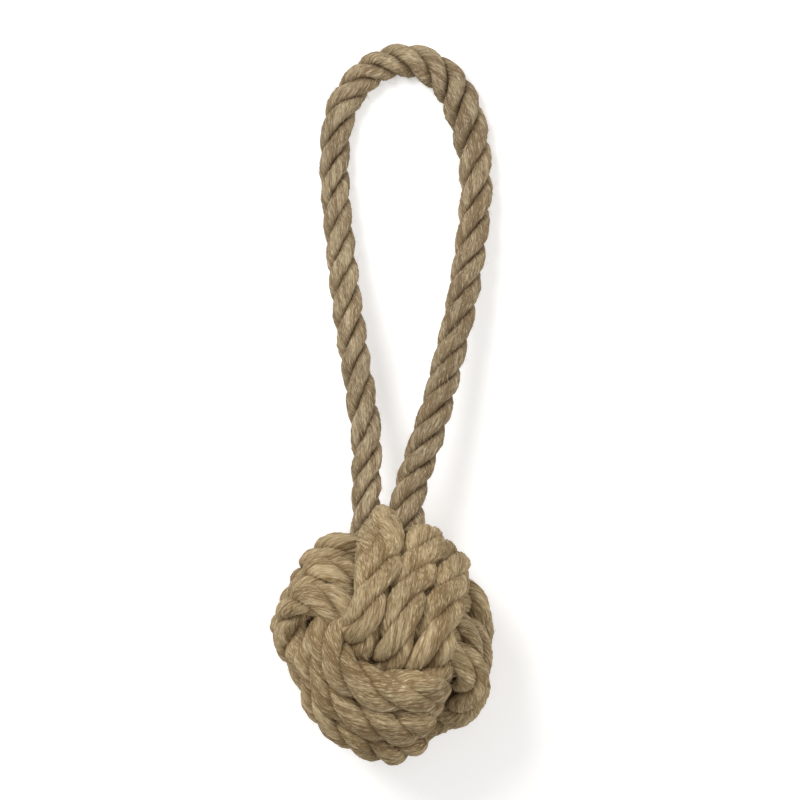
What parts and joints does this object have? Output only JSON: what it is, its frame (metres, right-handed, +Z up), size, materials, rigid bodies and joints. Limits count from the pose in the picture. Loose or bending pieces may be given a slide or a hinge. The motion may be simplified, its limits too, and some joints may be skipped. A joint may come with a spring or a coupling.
{
  "type": "rope dog toy",
  "caption": "Tug and fetch toy of laid jute rope: a round monkey's-fist knot over a ball core, with a long loop handle that bends where it leaves the knot.",
  "frame": {"origin": "on the table under the middle of the toy's bounding box", "axes": "+Y from the knot to the far end of the handle, +Z up from the table, +X to the right as the toy lies with its handle away from the viewer"},
  "size_m": [0.0946, 0.3002, 0.0944],
  "materials": {
    "rope": "natural laid jute rope, matt and slightly hairy",
    "core": "plain turned softwood"
  },
  "bodies": {
    "knot": {"core_ball": "core", "cross_coil": "rope", "side_coil": "rope", "front_coil": "rope", "left_leg_root": "rope", "right_leg_root": "rope"},
    "handle": {"handle_loop": "rope"}
  },
  "joints": [
    {"name": "handle_bend", "type": "hinge", "parent": "knot", "child": "handle", "pos_m": [0.00135, -0.03885, 0.03224], "axis": [1, 0, 0], "range_deg": [-75, 95]}
  ]
}
